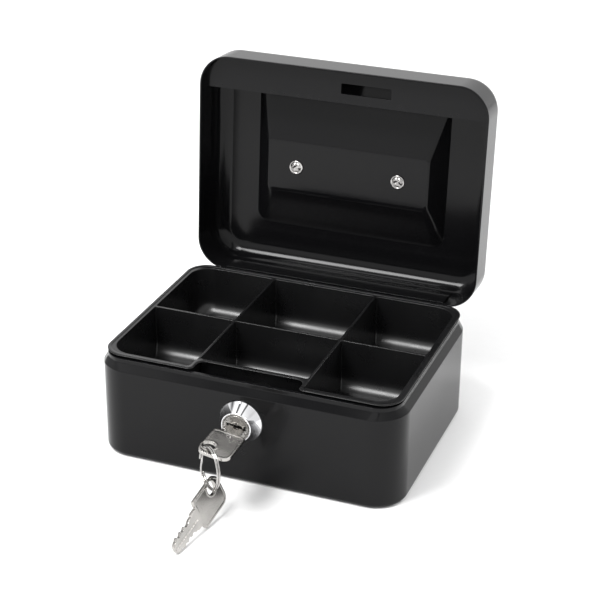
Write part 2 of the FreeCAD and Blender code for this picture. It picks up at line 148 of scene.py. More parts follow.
class Nodes:
    """A short way to write a material's node tree."""

    def __init__(self, name):
        self.material = bpy.data.materials.new(name)
        self.material.use_nodes = True
        self.tree = self.material.node_tree
        self.shader = self.tree.nodes["Principled BSDF"]
        self.place = self.add("ShaderNodeTexCoord").outputs["Object"]

    def add(self, kind, **values):
        node = self.tree.nodes.new(kind)
        for name, value in values.items():
            if name in node.inputs:
                node.inputs[name].default_value = value
            else:
                setattr(node, name, value)
        return node

    def link(self, out, into):
        self.tree.links.new(out, into)

    def noise(self, scale, detail=2.0, rough=0.5, stretch=None):
        node = self.add("ShaderNodeTexNoise", Scale=scale, Detail=detail, Roughness=rough)
        place = self.place
        if stretch:
            mapping = self.add("ShaderNodeMapping")
            mapping.inputs["Scale"].default_value = stretch
            self.link(self.place, mapping.inputs["Vector"])
            place = mapping.outputs["Vector"]
        self.link(place, node.inputs["Vector"])
        return node.outputs["Fac"]

    def span(self, value, low, high, start=0.0, end=1.0):
        """The value's start..end range carried to low..high, clamped."""
        node = self.add("ShaderNodeMapRange")
        for name, number in (("From Min", start), ("From Max", end),
                             ("To Min", low), ("To Max", high)):
            node.inputs[name].default_value = number
        self.link(value, node.inputs["Value"])
        return node.outputs["Result"]

    def math(self, operation, a, b):
        node = self.add("ShaderNodeMath", operation=operation)
        for side, socket in ((a, 0), (b, 1)):
            if isinstance(side, (int, float)):
                node.inputs[socket].default_value = side
            else:
                self.link(side, node.inputs[socket])
        return node.outputs[0]

    def blend(self, fac, a, b):
        node = self.add("ShaderNodeMix", data_type="RGBA")
        node.inputs["A"].default_value = (*a, 1)
        node.inputs["B"].default_value = (*b, 1)
        self.link(fac, node.inputs["Factor"])
        return node.outputs["Result"]

    def bump(self, height, strength, distance):
        node = self.add("ShaderNodeBump", Strength=strength, Distance=distance)
        self.link(height, node.inputs["Height"])
        self.link(node.outputs["Normal"], self.shader.inputs["Normal"])

    def into(self, name, value):
        if hasattr(value, "is_output"):
            self.link(value, self.shader.inputs[name])
        else:
            self.shader.inputs[name].default_value = value


def stoved_paint():
    """Semi-gloss black enamel on steel: faint orange peel, slow sheen changes, worn edges."""
    n = Nodes("black_enamel")
    drift = n.noise(28, 3)
    edge = n.span(n.add("ShaderNodeNewGeometry").outputs["Pointiness"], 0, 1, 0.53, 0.60)
    worn = n.math("MULTIPLY", edge, n.span(n.noise(420, 2), 0, 0.5, 0.5, 0.8))
    n.into("Base Color", n.blend(worn, (0.0036, 0.0036, 0.0040), (0.018, 0.018, 0.019)))
    n.into("Roughness", n.span(drift, 0.11, 0.17, 0.3, 0.7))
    n.into("Specular IOR Level", 0.18)
    n.bump(n.noise(650, 3, 0.55), 0.10, 0.00006)
    return n.material


def tray_plastic():
    """Satin black moulding with a fine grain and slow flow marks."""
    n = Nodes("tray_plastic")
    flow = n.noise(16, 4, 0.55, (1, 2.2, 1))
    n.into("Base Color", n.blend(flow, (0.0040, 0.0040, 0.0044), (0.0075, 0.0075, 0.0078)))
    n.into("Roughness", n.span(n.noise(90, 3), 0.25, 0.33, 0.3, 0.7))
    n.into("Specular IOR Level", 0.44)
    n.bump(n.noise(1500, 2), 0.16, 0.00005)
    return n.material


def plated(name, color, dark, rough, grain, relief):
    """Plated metal: fine grain, stretched by its three scales, and a small tonal drift."""
    n = Nodes(name)
    lines = n.noise(900, 2, 0.6, grain)
    drift = n.noise(120, 3)
    n.into("Metallic", 1.0)
    n.into("Base Color", n.blend(n.span(drift, 0, 1, 0.35, 0.7), color, dark))
    n.into("Roughness", n.span(lines, rough * 0.75, rough * 1.35, 0.3, 0.7))
    n.bump(lines, relief, 0.00003)
    return n.material


def floor_card():
    """Seamless white paper."""
    n = Nodes("white_paper")
    n.into("Base Color", n.blend(n.noise(300, 4), (0.86, 0.86, 0.86), (0.89, 0.89, 0.89)))
    n.into("Roughness", 0.85)
    n.bump(n.noise(1200, 3), 0.05, 0.0001)
    return n.material


PAINT = stoved_paint()
PLASTIC = tray_plastic()
CHROME = plated("chrome", (0.83, 0.83, 0.84), (0.76, 0.76, 0.78), 0.06, (1, 1, 1), 0.02)
NICKEL = plated("nickel_plate", (0.47, 0.455, 0.435), (0.36, 0.35, 0.335), 0.20,
                (0.2, 3, 3), 0.10)
FACE = plated("turned_nickel", (0.34, 0.33, 0.315), (0.24, 0.235, 0.225), 0.26,
              (1, 1, 1), 0.08)
RIVET = plated("rivet_steel", (0.50, 0.49, 0.48), (0.36, 0.35, 0.345), 0.14, (1, 1, 1), 0.04)
RING = plated("ring_wire", (0.52, 0.51, 0.50), (0.38, 0.37, 0.36), 0.10, (1, 1, 1), 0.04)
ZINC = plated("zinc_plate", (0.62, 0.62, 0.61), (0.50, 0.50, 0.50), 0.34, (2, 0.4, 2), 0.12)
BRASS = plated("brass", (0.72, 0.53, 0.26), (0.60, 0.42, 0.20), 0.30, (1, 3, 1), 0.10)
FINISH = {"paint": PAINT, "tray": PLASTIC, "chrome": CHROME, "nickel": NICKEL,
          "zinc": ZINC, "brass": BRASS}
SLOT_OF = {p["node"]: p["material_slot"] for p in frame["record"]["subparts"]}


# ---------------------------------------------------------------- mesh helpers

def piece(name, mesh, body, slot, replaced=(), material=None):
    """Link a mesh as a finished piece riding on a CAD body."""
    obj = bpy.data.objects.new(name, mesh)
    bpy.context.scene.collection.objects.link(obj)
    mesh.materials.clear()
    mesh.materials.append(material or FINISH[slot])
    mesh.shade_smooth()
    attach(obj, body)
    if replaced:
        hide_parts(*replaced)
    return obj


def to_mesh(name, bm, transform=None):
    """Finish a bmesh drawn in millimetres: consistent normals, metres, then the transform."""
    bmesh.ops.recalc_face_normals(bm, faces=bm.faces)
    bm.transform(Matrix.Scale(MM, 4))
    if transform:
        bm.transform(transform)
    mesh = bpy.data.meshes.new(name)
    bm.to_mesh(mesh)
    bm.free()
    return mesh


def opened():
    """Closed lid (rim plane at z = 0) to the open lid, in metres."""
    hinge = HINGE * MM
    return (Matrix.Translation(hinge) @ Matrix.Rotation(-OPEN, 4, "X")
            @ Matrix.Translation(Vector((0, 0, RIM_Z * MM)) - hinge))


def open_cutter(bm):
    """Swing a cutter, drawn in millimetres on the closed lid, to the open lid."""
    bm.transform(Matrix.Scale(1 / MM, 4) @ opened() @ Matrix.Scale(MM, 4))
    return bm


def inset(d):
    """The box's outline in plan, moved in by d."""
    return (d - HALF_W, d - HALF_D, HALF_W - d, HALF_D - d)


def arc(cx, cy, r, start, end, steps):
    """Points of an arc in a plane, angles in degrees, both ends included."""
    out = []
    for k in range(steps + 1):
        a = math.radians(start + (end - start) * k / steps)
        out.append((cx + r * math.cos(a), cy + r * math.sin(a)))
    return out


def loop(x0, y0, x1, y1, r, turns=10, side_x=14, side_y=10):
    """Rounded rectangle, counter-clockwise from the front right corner; r is one radius or
    four (front right, rear right, rear left, front left). Any size has as many points."""
    radii = [max(v, 0.05) for v in (r if isinstance(r, (tuple, list)) else [r] * 4)]
    corners = [(x1, y0, -1, 1, -90), (x1, y1, -1, -1, 0), (x0, y1, 1, -1, 90), (x0, y0, 1, 1, 180)]
    rounds = [arc(x + sx * v, y + sy * v, v, a, a + 90, turns)
              for (x, y, sx, sy, a), v in zip(corners, radii)]
    out = []
    for n, points in enumerate(rounds):
        out += points
        steps = side_y if n % 2 == 0 else side_x
        a, b = Vector(points[-1]), Vector(rounds[(n + 1) % 4][0])
        out += [tuple(a.lerp(b, k / steps)) for k in range(1, steps)]
    return out


def around(r, steps):
    """Evenly spaced points of a full circle about the origin."""
    return [(r * math.cos(a), r * math.sin(a))
            for a in (2 * math.pi * k / steps for k in range(steps))]


def add_ring(bm, points, z):
    return [bm.verts.new((x, y, z)) for x, y in points]


def bridge(bm, a, b, closed=True):
    """Faces between two rows of as many vertices."""
    count = len(a)
    for k in range(count if closed else count - 1):
        j = (k + 1) % count
        bm.faces.new((a[k], a[j], b[j], b[k]))


def skin(bm, rings, cap_first=False, cap_last=False):
    """Faces along a stack of rings, and over its ends if asked."""
    for a, b in zip(rings, rings[1:]):
        bridge(bm, a, b)
    if cap_first:
        bm.faces.new(reversed(rings[0]))
    if cap_last:
        bm.faces.new(rings[-1])


def lathe(profile, steps=96, close=False):
    """Turn (radius, y) points about the lock's axis; the last joins the first if asked."""
    bm = bmesh.new()
    rings = []
    for r, y in profile:
        if r < 1e-6:
            rings.append([bm.verts.new((0, y, LOCK_Z))])
            continue
        rings.append([bm.verts.new((dx, y, LOCK_Z + dz)) for dx, dz in around(r, steps)])
    if close:
        rings.append(rings[0])
    for a, b in zip(rings, rings[1:]):
        if len(a) == 1 or len(b) == 1:
            tip, rim = (a[0], b) if len(a) == 1 else (b[0], a)
            for k in range(steps):
                bm.faces.new((tip, rim[k], rim[(k + 1) % steps]))
        else:
            bridge(bm, a, b)
    return bm


def tube(path, radius, sides):
    """A round bar along a path of points, its sections carried without twist, ends flat."""
    bm = bmesh.new()
    path = [Vector(p) for p in path]
    tangents = [(path[min(k + 1, len(path) - 1)] - path[max(k - 1, 0)]).normalized()
                for k in range(len(path))]
    side = tangents[0].orthogonal().normalized()
    rings = []
    for at, along in zip(path, tangents):
        side = (side - along * side.dot(along)).normalized()
        other = along.cross(side)
        rings.append([bm.verts.new(at + radius * (side * u + other * v))
                      for u, v in around(1, sides)])
    skin(bm, rings, True, True)
    return bm


def modify(obj, kind, **values):
    modifier = obj.modifiers.new(kind.title(), kind)
    for name, value in values.items():
        setattr(modifier, name, value)
    return modifier


def bake_modifiers(obj):
    """Replace the object's mesh by its evaluated mesh."""
    bpy.context.view_layer.update()
    graph = bpy.context.evaluated_depsgraph_get()
    mesh = bpy.data.meshes.new_from_object(obj.evaluated_get(graph))
    obj.modifiers.clear()
    obj.data = mesh
    return obj


def cut(obj, *cutters):
    """Take cutter meshes out of an object and drop them."""
    for bm in cutters:
        mesh = to_mesh("cutter", bm)
        tool = bpy.data.objects.new("cutter", mesh)
        bpy.context.scene.collection.objects.link(tool)
        modify(obj, "BOOLEAN", operation="DIFFERENCE", object=tool, solver="EXACT")
        bake_modifiers(obj)
        bpy.data.objects.remove(tool)
    return obj


def brick(x0, y0, z0, x1, y1, z1):
    """Block for cutting, its corners just rounded in plan."""
    bm = bmesh.new()
    points = loop(x0, y0, x1, y1, 0.05, turns=6, side_x=1, side_y=1)
    rings = [add_ring(bm, points, z) for z in (z0, z1)]
    skin(bm, rings, True, True)
    return bm


def copy_node(node, bevel):
    """A CAD node's own shape with welded vertices, broken edges and smooth faces."""
    source = frame["nodes"][node]
    bm = bmesh.new()
    bm.from_mesh(source.data)
    bmesh.ops.remove_doubles(bm, verts=bm.verts, dist=2e-6)
    bmesh.ops.dissolve_limit(bm, angle_limit=math.radians(0.6), verts=bm.verts, edges=bm.edges)
    mesh = bpy.data.meshes.new(node + "_fine")
    bm.to_mesh(mesh)
    bm.free()
    obj = piece(node + "_fine", mesh, source["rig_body"], SLOT_OF[node], (node,))
    modify(obj, "BEVEL", width=bevel * MM, segments=2, limit_method="ANGLE",
           angle_limit=math.radians(28), harden_normals=True)
    modify(obj, "WEIGHTED_NORMAL", keep_sharp=True)
    bake_modifiers(obj)


# ---------------------------------------------------------------- base

def base_section():
    """(inset, height) from the bottom up over the shoulder to the hem, then down the inside."""
    turn, r = SHOULDER_TILT, CREASE_R
    cos, sin, tan = (f(math.radians(turn)) for f in (math.cos, math.sin, math.tan))
    neck_z = SHOULDER_Z + SHOULDER_IN / tan + 2 * r * math.tan(math.radians(turn / 2))
    dip = SHOULDER_IN - r
    out = [(CORNER_R - 0.3, 0), (FLAT_IN, 0)]
    out += [(FOOT_R - x, FOOT_R + z) for x, z in arc(0, 0, FOOT_R, -90, 0, 8)]
    out += [(0, 5), (0, 15), (0, 30), (0, SHOULDER_Z - 1)]
    out += [(r - x, SHOULDER_Z + z) for x, z in arc(0, 0, r, 0, turn, 4)]
    slope_top = Vector((dip + r * cos, neck_z - r * sin))
    out += [tuple(Vector(out[-1]).lerp(slope_top, k / 5)) for k in range(1, 5)]
    out += [(dip - x, neck_z + z) for x, z in arc(0, 0, r, 180 + turn, 180, 4)]
    hem, top, edge = SHOULDER_IN + SHEET, NECK_TOP - HEM_SINK, HEM_EDGE_R
    out += [(SHOULDER_IN + edge - x, top - edge + z) for x, z in arc(0, 0, edge, 0, 90, 3)]
    out += [(hem + SHEET - edge - x, top - edge + z) for x, z in arc(0, 0, edge, 90, 180, 3)]
    out += [(hem + SHEET, NECK_TOP - HEM_DROP), (hem + HEM_GAP, NECK_TOP - HEM_DROP - 0.05)]
    out += [(hem, neck_z), (SHEET, SHOULDER_Z), (SHEET, 30), (SHEET, 5)]
    out += [(FOOT_R - x, FOOT_R + z) for x, z in arc(0, 0, FOOT_R - SHEET, 0, -90, 5)]
    return out + [(FLAT_IN, SHEET), (CORNER_R - 0.3, SHEET)]


def pucker(x, y, z):
    """How far the metal stands out where the corners were drawn in below the hem."""
    over_x, over_y = abs(x) - (HALF_W - CORNER_R), abs(y) - (HALF_D - CORNER_R)
    if over_x <= 0 or over_y <= 0 or not SHOULDER_Z - 1 < z < NECK_TOP - 0.4:
        return 0.0
    a = math.atan2(over_y, over_x)
    climb = (z - SHOULDER_Z + 1) / (NECK_TOP + 0.6 - SHOULDER_Z)
    fade = math.sin(2 * a) * math.sin(math.pi * climb)
    wave = noise.noise(Vector([v * g for v, g in zip((x, y, z), PUCKER_GRAIN)]))
    return PUCKER_HEIGHT * fade * (wave + 0.5 * math.sin(a * PUCKER_WAVES + x * 0.1))


def base_shell():
    bm = bmesh.new()
    rings = []
    for d, z in base_section():
        tighten = NECK_TIGHTER * min(1.0, max(0.0, (z - SHOULDER_Z) / 3))
        points = loop(*inset(d), CORNER_R - d - tighten, turns=20, side_x=18, side_y=14)
        ring = add_ring(bm, points, z)
        for v in ring:
            out = Vector((math.copysign(1, v.co.x), math.copysign(1, v.co.y), 0)).normalized()
            v.co += out * pucker(*v.co)
        rings.append(ring)
    skin(bm, rings, True, True)
    obj = piece("base_body", to_mesh("base_body", bm), "base", "paint", ("base_shell",))
    front, back, r = -HALF_D - 3, -HALF_D + 4, LOCK_HOLE_R
    cut(obj, lathe([(0, front), (r, front), (r, back), (0, back)]))
    modify(obj, "WEIGHTED_NORMAL", keep_sharp=False)
    return bake_modifiers(obj)


# ---------------------------------------------------------------- lid

def ramp(s, ease):
    """0 to 1 along a slope whose two ends are rounded over a share of its length."""
    def area(t):
        return t * t / (2 * ease) if t < ease else t - ease / 2
    if s <= 1 - ease:
        return area(s) / (1 - ease)
    return 1 - area(1 - s) / (1 - ease)


def lid_rings():
    """(outline, corner radius, height) from the rim up the wall and down into the recess."""
    out = [(inset(0), CORNER_R, z) for z in (0, 0.3, 3, 8, 12, LID_H - LID_EDGE_R - 0.5)]
    for x, z in arc(0, 0, LID_EDGE_R, 0, 90, 10):
        d = LID_EDGE_R - x
        out.append((inset(d), CORNER_R - d, LID_H - LID_EDGE_R + z))
    plateau = inset(LID_EDGE_R)
    for k in range(1, 7):
        t = k / 6
        mix = [a + (b - a) * t for a, b in zip(plateau, RECESS_TOP)]
        out.append((mix, CORNER_R - LID_EDGE_R + (MOUTH_R - CORNER_R + LID_EDGE_R) * t, LID_H))
    steps = 30
    for k in range(1, steps + 1):
        s = k / steps
        mix = [a + (b - a) * s for a, b in zip(RECESS_TOP, RECESS_FLOOR)]
        radius = MOUTH_R + (FLOOR_R - MOUTH_R) * s
        out.append((mix, radius, LID_H - (LID_H - RECESS_Z) * ramp(s, RECESS_EASE)))
    for shrink, r in ((3, 1.8), (6, 1.5), (9, 1.2)):
        x0, y0, x1, y1 = RECESS_FLOOR
        out.append(((x0 + shrink, y0 + shrink, x1 - shrink, y1 - shrink), r, RECESS_Z))
    return out


def lid_shell():
    bm = bmesh.new()
    rings = [add_ring(bm, loop(*box, r, turns=16, side_x=22, side_y=16), z)
             for box, r, z in lid_rings()]
    skin(bm, rings, cap_last=True)
    obj = piece("lid_body", to_mesh("lid_body", bm, opened()), "lid", "paint", ("lid_shell",))
    modify(obj, "SOLIDIFY", thickness=SHEET * MM, offset=-1, use_even_offset=True)
    modify(obj, "BEVEL", width=0.25 * MM, segments=2, limit_method="ANGLE",
           angle_limit=math.radians(50))
    bake_modifiers(obj)
    gap = brick(-HINGE_GAP_X, HALF_D - HINGE_GAP_IN, -1, HINGE_GAP_X, HALF_D + 1, HINGE_GAP_Z)
    cut(obj, open_cutter(gap))
    modify(obj, "WEIGHTED_NORMAL", keep_sharp=False)
    return bake_modifiers(obj)


def rivet_head(x):
    """Peened rivet end under the recess floor: a flat collar and a three-lobed star."""
    bm = bmesh.new()
    steps, top, star_r = 72, RECESS_Z - SHEET, 2.65
    radii = (3.7, 3.7, 3.5, 2.95, 2.75, 2.6, 2.3, 1.8, 1.2, 0.5)
    heights = (0.0, 0.5, 0.78, 0.78, 0.5, 0.2, 0.7, 1.15, 1.1, 0.7)
    rings = []
    for r, h in zip(radii, heights):
        ring = []
        for k in range(steps):
            a = 2 * math.pi * k / steps
            lobe = 1.0 if r > star_r else 0.35 + 0.65 * abs(math.cos(1.5 * a + 0.5)) ** 0.6
            ring.append(bm.verts.new((x + r * math.cos(a), POST_Y + r * math.sin(a),
                                      top - h * lobe)))
        rings.append(ring)
    skin(bm, rings, False, True)
    return bm


def handle_post(side, x):
    """Post with a rounded top edge, drilled across for the handle's end, and its rivet."""
    bm = bmesh.new()
    z0, z1, edge = RECESS_Z + 0.6, PIVOT_Z + 2.4, POST_EDGE_R
    profile = [(0.05, z0), (POST_R - 0.3, z0), (POST_R, z0 + 0.3), (POST_R, z1 - edge)]
    profile += [(POST_R - edge + px, z1 - edge + pz) for px, pz in arc(0, 0, edge, 0, 90, 6)][1:]
    profile += [(0.05, z1)]
    rings = [add_ring(bm, [(x + dx, POST_Y + dy) for dx, dy in around(r, 48)], z)
             for r, z in profile]
    skin(bm, rings, True, True)
    name = f"post_{side}"
    obj = piece(name + "_body", to_mesh(name, bm, opened()), "lid", "chrome", (name,))
    bore = tube([(x - 6, POST_Y, PIVOT_Z), (x + 6, POST_Y, PIVOT_Z)], BORE_R, 32)
    cut(obj, open_cutter(bore))
    modify(obj, "WEIGHTED_NORMAL", keep_sharp=False)
    bake_modifiers(obj)
    rivet = to_mesh("rivet", rivet_head(x), opened())
    piece(f"rivet_{side}", rivet, "lid", "chrome", (), RIVET)


def handle():
    """Folding bail: a bent bar, fuller at the grip, with thin ends turned in to the posts."""
    arm_x, bend, turn = BAIL_X, BAIL_BEND_R, BAIL_TURN_R
    y1 = POST_Y + BAIL_REACH
    right = [(POST_X - 3.4, POST_Y), (arm_x - turn, POST_Y)]
    right += arc(arm_x - turn, POST_Y + turn, turn, -90, 0, 8)[1:]
    right += [(arm_x, POST_Y + 6), (arm_x, y1 - bend - 3)]
    right += arc(arm_x - bend, y1 - bend, bend, 0, 90, 12)
    path = right + [(x, y1) for x in (20, 10, 0)]
    path += [(-x, y) for x, y in reversed(path[:-1])]
    points = [Vector((x, y, PIVOT_Z)) for x, y in path]
    bm = bmesh.new()
    rings = []
    for k, at in enumerate(points):
        along = (points[min(k + 1, len(points) - 1)] - points[max(k - 1, 0)]).normalized()
        side = Vector((0, 0, 1)).cross(along)
        from_post = max(0.0, min(1.0, (at.y - POST_Y) / 4.5))
        r = BAIL_END_R + (BAIL_R - BAIL_END_R) * from_post
        if abs(at.x) < GRIP_HALF and at.y > y1 - 1:
            r = BAIL_R * (1 + GRIP_SWELL * math.cos(math.pi * at.x / (2 * GRIP_HALF)) ** 0.5)
        rings.append([bm.verts.new(at + r * (side * u + Vector((0, 0, v))))
                      for u, v in around(1, 28)])
    skin(bm, rings, True, True)
    piece("handle_bail", to_mesh("handle", bm, opened()), "handle", "chrome", ("handle",))


# ---------------------------------------------------------------- lock

def lock_trim():
    """Chromed cone with a rolled nose, and the turned barrel end inside it."""
    wall, face = -HALF_D, FACE_Y
    cone = [(ROSETTE_R - 0.5, wall), (ROSETTE_R, wall), (ROSETTE_R, wall - 0.7),
            (ROSETTE_R - 0.25, wall - 1.0), (NOSE_R + 0.12, face + 0.75)]
    cone += [(NOSE_R - 0.35 + x, face + 0.5 - z) for x, z in arc(0, 0, 0.45, 15, 90, 6)]
    cone += [(6.95, face + 0.1), (6.95, wall)]
    cone = to_mesh("lock_cone", lathe(cone, 128, True))
    piece("lock_cone", cone, "base", "chrome", ("lock_rosette",))
    barrel = [(6.3, face + 3.2), (6.3, face + 0.45), (6.42, face + 0.2), (6.88, face + 0.2),
              (6.88, HOUSING_BACK), (6.0, HOUSING_BACK), (6.0, face + 3.2)]
    barrel = to_mesh("lock_barrel", lathe(barrel, 96, True))
    piece("lock_barrel", barrel, "base", "zinc", ("lock_housing",), FACE)


def keyway_cutters():
    """Waved key slot, an index dot on the left and a pair of marks on the right."""
    turn = Matrix.Translation((0, 0, LOCK_Z)) @ Matrix.Rotation(KEYWAY_TILT, 4, "Y")
    slot = bmesh.new()
    top = [(-3.9, 1.15), (-1.2, 1.25), (0.4, 1.2), (1.4, 1.7), (2.8, 1.5), (3.9, 0.6)]
    low = [(3.9, -0.95), (-3.9, -0.95)]
    rings = [[slot.verts.new((x, y, z)) for x, z in top + low] for y in (FACE_Y - 2, KEYWAY_END)]
    skin(slot, rings, True, True)
    slot.transform(turn)
    cutters = [slot]
    for x, z, r in ((-4.9, 2.3, 0.62), (5.2, -0.6, 0.42), (5.0, -1.9, 0.42)):
        dot = bmesh.new()
        rings = [[dot.verts.new((x + dx, y, z + dz)) for dx, dz in around(r, 20)]
                 for y in (FACE_Y - 1, FACE_Y + 0.6)]
        skin(dot, rings, True, True)
        dot.transform(turn)
        cutters.append(dot)
    return cutters


def lock_plug():
    """The turned plug with its key slot, stepped down to the cam's seat at the back."""
    profile = [(0, FACE_Y + 0.05), (3, FACE_Y + 0.05), (5.6, FACE_Y + 0.05)]
    profile += [(5.85 + x, FACE_Y + 0.35 - z) for x, z in arc(0, 0, 0.3, 90, 0, 5)]
    profile += [(6.15, FACE_Y + 2.9), (5.85, FACE_Y + 3.0), (5.85, -48.9), (5.3, -48.85),
                (5.3, -48.2), (4.9, -48.1), (4.9, -45.1), (0, -45.1)]
    obj = piece("lock_core", to_mesh("lock_core", lathe(profile, 96)), "plug", "nickel",
                ("lock_plug",), FACE)
    cut(obj, *keyway_cutters())
    modify(obj, "WEIGHTED_NORMAL", keep_sharp=False)
    return bake_modifiers(obj)


# ---------------------------------------------------------------- keys

def key(node):
    """Stamped key: the CAD outline remeshed finely and relaxed, so every edge is worn soft."""
    source = frame["nodes"][node]
    obj = piece(node + "_blank", source.data.copy(), source["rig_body"], "nickel", (node,))
    modify(obj, "WELD", merge_threshold=1e-6)
    voxel = KEY_VOXEL * MM
    modify(obj, "REMESH", mode="VOXEL", voxel_size=voxel)
    modify(obj, "SMOOTH", factor=0.5, iterations=3)
    bake_modifiers(obj)
    obj.data.shade_smooth()


def split_ring():
    """Nearly two turns of round wire; the first crosses over to lie beside the second."""
    low, high = node_box("split_ring")
    centre = (low + high) / 2
    along = Vector((0.737, -0.676, 0)).normalized()
    up = Vector((0.044, 0.048, 0.998)).normalized()
    normal = along.cross(up)
    radius, wire, pitch = 9.84, 0.46, 0.97
    turns, first_cross, end_cross, start = 1.9, 0.9, 1.0, math.radians(218)
    path = []
    steps = 220
    for k in range(steps + 1):
        t = turns * k / steps
        a = 2 * math.pi * t + start
        s = max(0.0, min(1.0, (t - first_cross) / (end_cross - first_cross)))
        side = pitch * (s * s * (3 - 2 * s) - 0.5)
        path.append(centre + radius * (along * math.cos(a) + up * math.sin(a)) + normal * side)
    mesh = to_mesh("key_ring", tube(path, wire, 18))
    piece("key_ring", mesh, "ring", "nickel", ("split_ring",), RING)


# ---------------------------------------------------------------- tray

def cells():
    """(x0, y0, x1, y1, corner radii) of the six compartments."""
    half, (x_min, y_min, x_max, y_max) = DIVIDER_T / 2, TUB
    columns = ((x_min, -DIVIDER_X - half), (-DIVIDER_X + half, DIVIDER_X - half),
               (DIVIDER_X + half, x_max))
    out = []
    for n, (x0, x1) in enumerate(columns):
        left, right = (TUB_R if n == 0 else INNER_R), (TUB_R if n == 2 else INNER_R)
        front = MIDDLE_FRONT_Y if n == 1 else y_min
        out.append((x0, front, x1, -half, (right, INNER_R, INNER_R, left)))
        out.append((x0, half, x1, y_max, (INNER_R, right, left, INNER_R)))
    return out


def round_in(radius, up):
    """How far a wall's rounded foot has come in at a height above the floor."""
    return radius - math.sqrt(max(0, radius ** 2 - max(0, radius - up) ** 2))


def cell_rings(cell):
    """Rings down a compartment: rolled top edge, drafted walls, front scoop, soft floor."""
    x0, y0, x1, y1, radii = cell
    edge = TRAY_EDGE_R
    out = []
    for x, z in arc(0, 0, edge, 90, 0, 4):
        d = x - edge
        out.append(((x0 + d, y0 + d, x1 - d, y1 - d), [r - d for r in radii], LIP_TOP - edge + z))
    heights = [LIP_TOP - 2.5, LIP_TOP - 5]
    heights += [TRAY_FLOOR + SCOOP_R * (1 - math.sin(math.radians(a))) for a in range(0, 88, 5)]
    heights += [TRAY_FLOOR + 0.02]
    for z in heights:
        scoop, foot = (round_in(radius, z - TRAY_FLOOR) for radius in (SCOOP_R, CELL_R))
        draft = DRAFT * (LIP_TOP - z) / (LIP_TOP - TRAY_FLOOR)
        side = draft + foot * SIDE_SHARE
        out.append(((x0 + side, y0 + scoop + draft, x1 - side, y1 - foot - draft),
                    [max(r - draft - 0.15 * foot, 0.6) for r in radii], z))
    return out


def lip_outline(d):
    """The lip's edge, d further in than its full reach, with the thumb notch at the front."""
    d -= LIP_OUT
    half, r, inner, outer = DIVIDER_X - DIVIDER_T / 2, LIP_R - d, NOTCH_INNER_R, NOTCH_OUTER_R
    x, y0, y1 = LIP_X - d, LIP_FRONT + LIP_OUT + LIP_FRONT_IN + d, LIP_REAR - d
    n0, n1 = half + d, NOTCH_Y + d
    points = arc(x - r, y0 + r, r, -90, 0, 12)
    points += arc(x - r, y1 - r, r, 0, 90, 12)
    points += arc(r - x, y1 - r, r, 90, 180, 12)
    points += arc(r - x, y0 + r, r, 180, 270, 12)
    points += arc(-n0 - outer, y0 + outer, outer, -90, 0, 6)
    points += arc(-n0 + inner, n1 - inner, inner, 180, 90, 6)
    points += arc(n0 - inner, n1 - inner, inner, 90, 0, 6)
    points += arc(n0 + outer, y0 + outer, outer, 180, 270, 6)
    return points


def coin_tray():
    """One moulding: six cells and the lip round them, joined by the flat top."""
    bm = bmesh.new()
    loops = []
    for cell in cells():
        rings = [add_ring(bm, loop(*box, r, turns=8, side_x=10, side_y=10), z)
                 for box, r, z in cell_rings(cell)]
        skin(bm, rings, cap_last=True)
        loops.append(rings[0])
    edge = TRAY_EDGE_R
    rims = [add_ring(bm, lip_outline(edge - x), LIP_TOP - edge + z)
            for x, z in arc(0, 0, edge, 90, 0, 4)]
    rims += [add_ring(bm, lip_outline(d), LIP_TOP - drop) for d, drop in LIP_EDGE]
    skin(bm, rims)
    loops.append(rims[0])
    edges = []
    for ring in loops:
        for k, v in enumerate(ring):
            edges.append(bm.edges.get((v, ring[(k + 1) % len(ring)])))
    bmesh.ops.triangle_fill(bm, use_beauty=True, use_dissolve=False, edges=edges,
                            normal=(0, 0, 1))
    obj = piece("tray_moulding", to_mesh("tray", bm), "tray", "tray", ("coin_tray",))
    modify(obj, "SOLIDIFY", thickness=TRAY_T * MM, offset=-1)
    modify(obj, "WEIGHTED_NORMAL", keep_sharp=False)
    return bake_modifiers(obj)


# ---------------------------------------------------------------- studio

# Sky level by how far a direction leans to SKY_AXIS, behind and above the box.
SKY_AXIS = (0.20, 0.88, 0.43)
SKY = ((0.0, 1.35), (0.30, 1.25), (0.50, 0.95), (0.75, 1.00), (0.92, 1.25), (1.0, 1.3))
# High in the sky, light and dark panels side by side along X.
PANELS_FROM, PANELS_FULL = 0.47, 0.62
PANELS = ((0.0, 0.10), (0.12, 0.15), (0.19, 1.5), (0.29, 1.7), (0.32, 0.12), (0.36, 0.12),
          (0.40, 1.3), (0.55, 1.3), (0.58, 0.10), (0.61, 0.10), (0.64, 1.1), (0.85, 0.9),
          (1.0, 0.5))
FLOOR_HALF, FLOOR_STEPS = 2.4, 24
CAMERA_AT, LENS, SENSOR = (0.25901, -0.65934, 0.41264), 97.915, 36.0


def area(name, at, target, width, height, power):
    """A rectangular lamp aimed at a point."""
    light = bpy.data.lights.new(name, "AREA")
    light.shape, light.size, light.size_y = "RECTANGLE", width, height
    light.energy = power
    obj = bpy.data.objects.new(name, light)
    bpy.context.scene.collection.objects.link(obj)
    obj.location = at
    obj.rotation_euler = (Vector(target) - Vector(at)).to_track_quat("-Z", "Y").to_euler()


def ramp_node(nodes, stops):
    """Grey colour ramp through (position, level) stops."""
    node = nodes.new("ShaderNodeValToRGB")
    elements = node.color_ramp.elements
    elements[0].position, elements[1].position = stops[0][0], stops[-1][0]
    for place, _ in stops[1:-1]:
        elements.new(place)
    for element, (_, level) in zip(elements, stops):
        element.color = (level, level, level, 1)
    return node


def across(nodes, links, value, low, high):
    """The value's low..high range as 0..1, clamped."""
    node = nodes.new("ShaderNodeMapRange")
    node.inputs["From Min"].default_value, node.inputs["From Max"].default_value = low, high
    links.new(value, node.inputs["Value"])
    return node.outputs["Result"]


